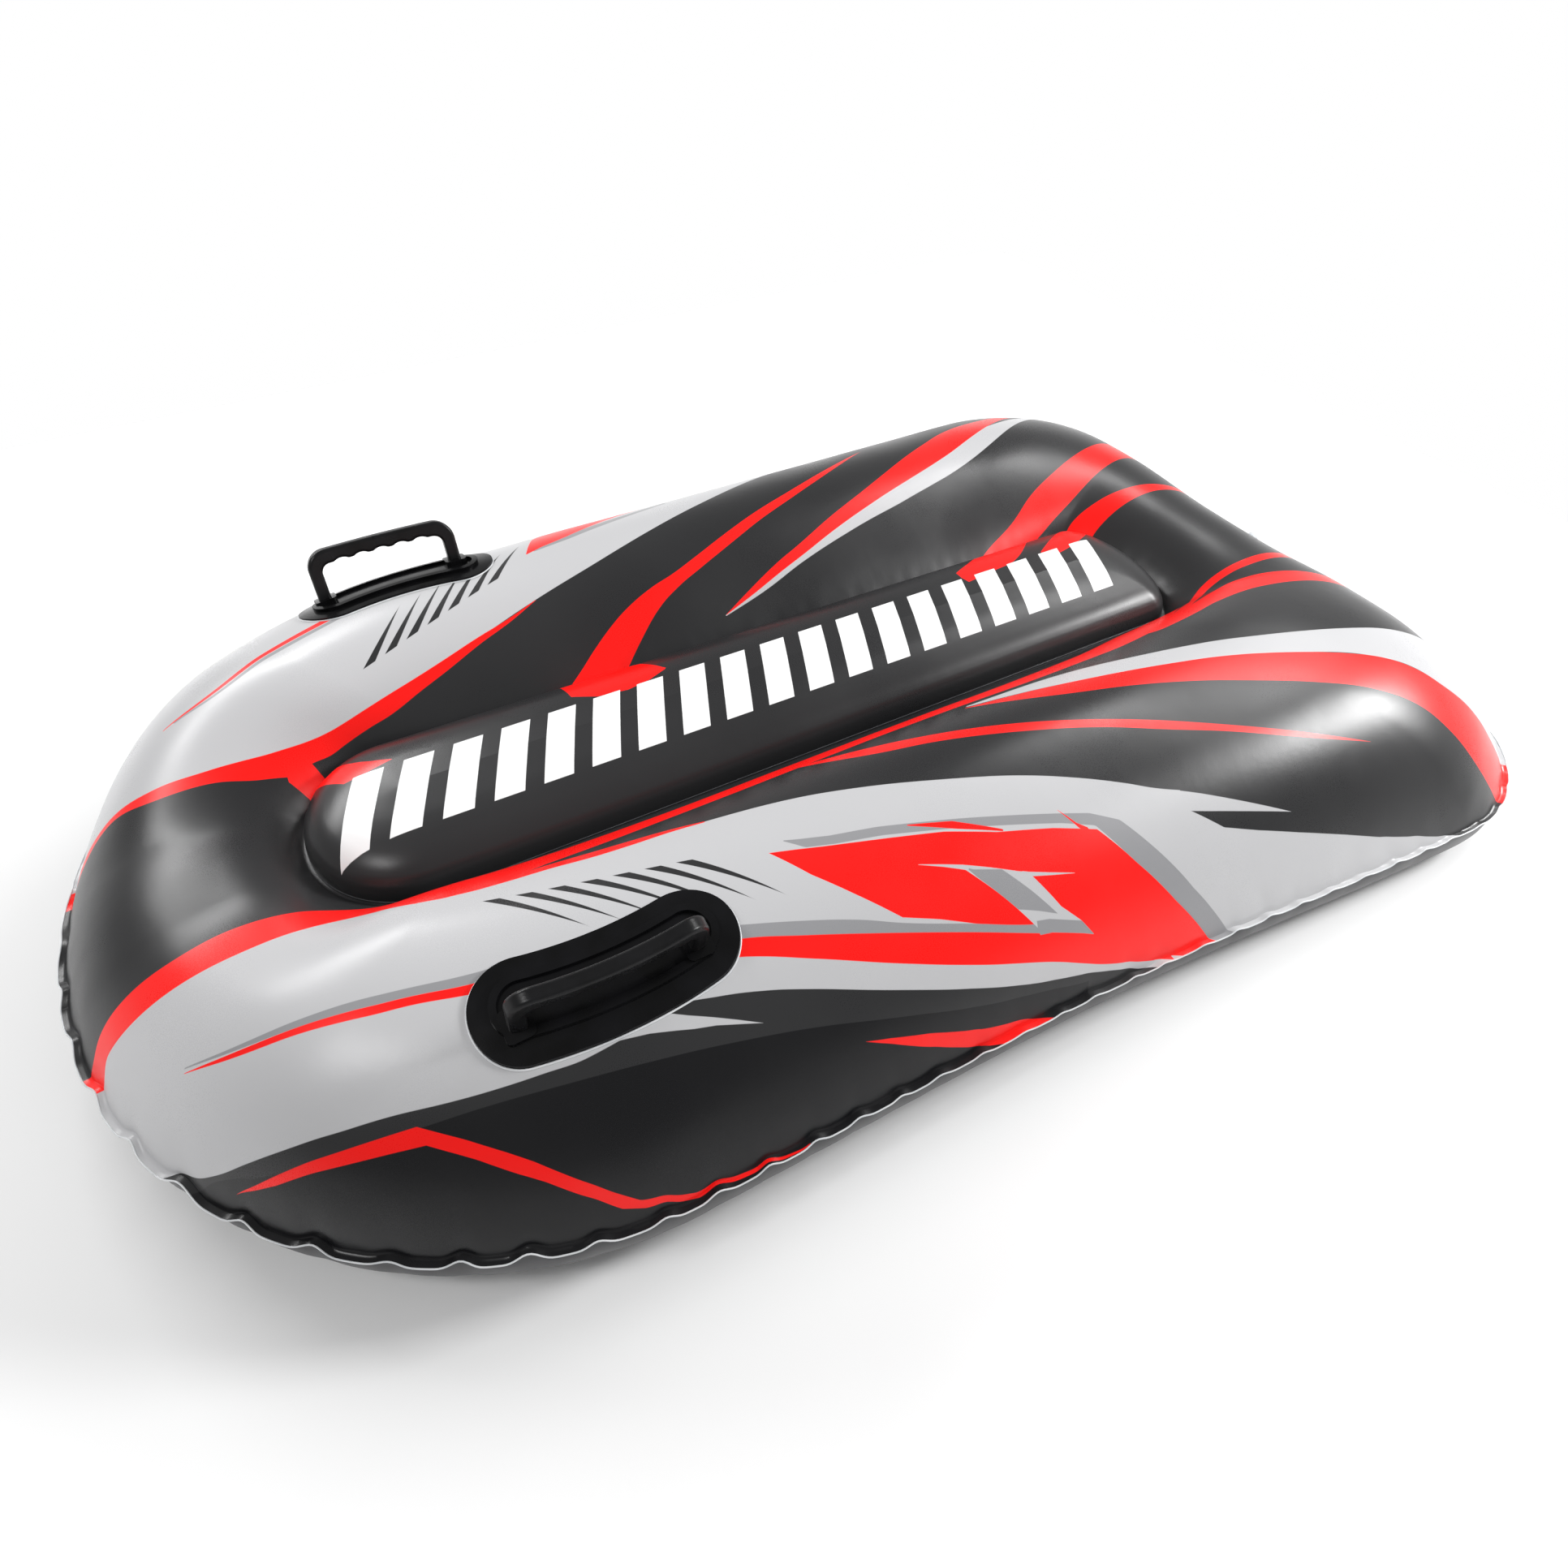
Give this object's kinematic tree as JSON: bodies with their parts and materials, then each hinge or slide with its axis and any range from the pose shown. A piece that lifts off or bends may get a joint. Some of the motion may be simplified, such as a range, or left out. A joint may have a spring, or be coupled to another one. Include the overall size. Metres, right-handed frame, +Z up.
{
  "type": "inflatable snow sled board",
  "caption": "Inflatable riding board of welded film with a ring tube, a raised centre pad and upright moulded grips near the nose.",
  "frame": {"origin": "on the floor under the middle of the board", "axes": "+Y from the nose to the tail along the board, +Z up, +X to the rider's left"},
  "size_m": [0.77, 1.2094, 0.2019],
  "materials": {
    "printed_film": "satin PVC film printed in black, silver grey and red",
    "bottom_film": "smooth dark grey PVC film",
    "handle_patch": "semi-gloss moulded soft PVC",
    "handle_grip": "satin moulded soft PVC",
    "valve_film": "milky flexible PVC",
    "valve_soft": "milky flexible PVC"
  },
  "bodies": {
    "board": {"top_sheet": "printed_film", "bottom_sheet": "bottom_film", "left_handle_base": "handle_patch", "left_handle_grip": "handle_grip", "right_handle_base": "handle_patch", "right_handle_grip": "handle_grip", "main_valve_flange": "valve_film", "pad_valve_flange": "valve_film"},
    "main_stem": {"main_valve_stem": "valve_soft"},
    "main_flap": {"main_valve_flap": "valve_soft"},
    "main_cap": {"main_valve_cap": "valve_soft"},
    "pad_stem": {"pad_valve_stem": "valve_soft"},
    "pad_flap": {"pad_valve_flap": "valve_soft"},
    "pad_cap": {"pad_valve_cap": "valve_soft"}
  },
  "joints": [
    {"name": "main_stem_slide", "type": "slide", "parent": "board", "child": "main_stem", "axis": [0, 0.9063, 0.4226], "range_m": [-0.015, 0]},
    {"name": "main_cap_hinge", "type": "hinge", "parent": "main_stem", "child": "main_cap", "pos_m": [-0.0105, 0.58304, 0.086], "axis": [0, -0.4226, 0.9063], "range_deg": [0, 140]},
    {"name": "main_flap_hinge", "type": "hinge", "parent": "main_stem", "child": "main_flap", "pos_m": [0.0054, 0.56727, 0.07865], "axis": [0, -0.4226, 0.9063], "range_deg": [0, 55], "stiffness_Nm_per_rad": 0.0001},
    {"name": "pad_stem_slide", "type": "slide", "parent": "board", "child": "pad_stem", "axis": [0, -0.01, -0.9999], "range_m": [-0.015, 0]},
    {"name": "pad_cap_hinge", "type": "hinge", "parent": "pad_stem", "child": "pad_cap", "pos_m": [-0.0105, 0.2495, 0.0516], "axis": [0, 0.9999, -0.01], "range_deg": [0, 140]},
    {"name": "pad_flap_hinge", "type": "hinge", "parent": "pad_stem", "child": "pad_flap", "pos_m": [0.0054, 0.24968, 0.069], "axis": [0, 0.9999, -0.01], "range_deg": [0, 55], "stiffness_Nm_per_rad": 0.0001}
  ]
}
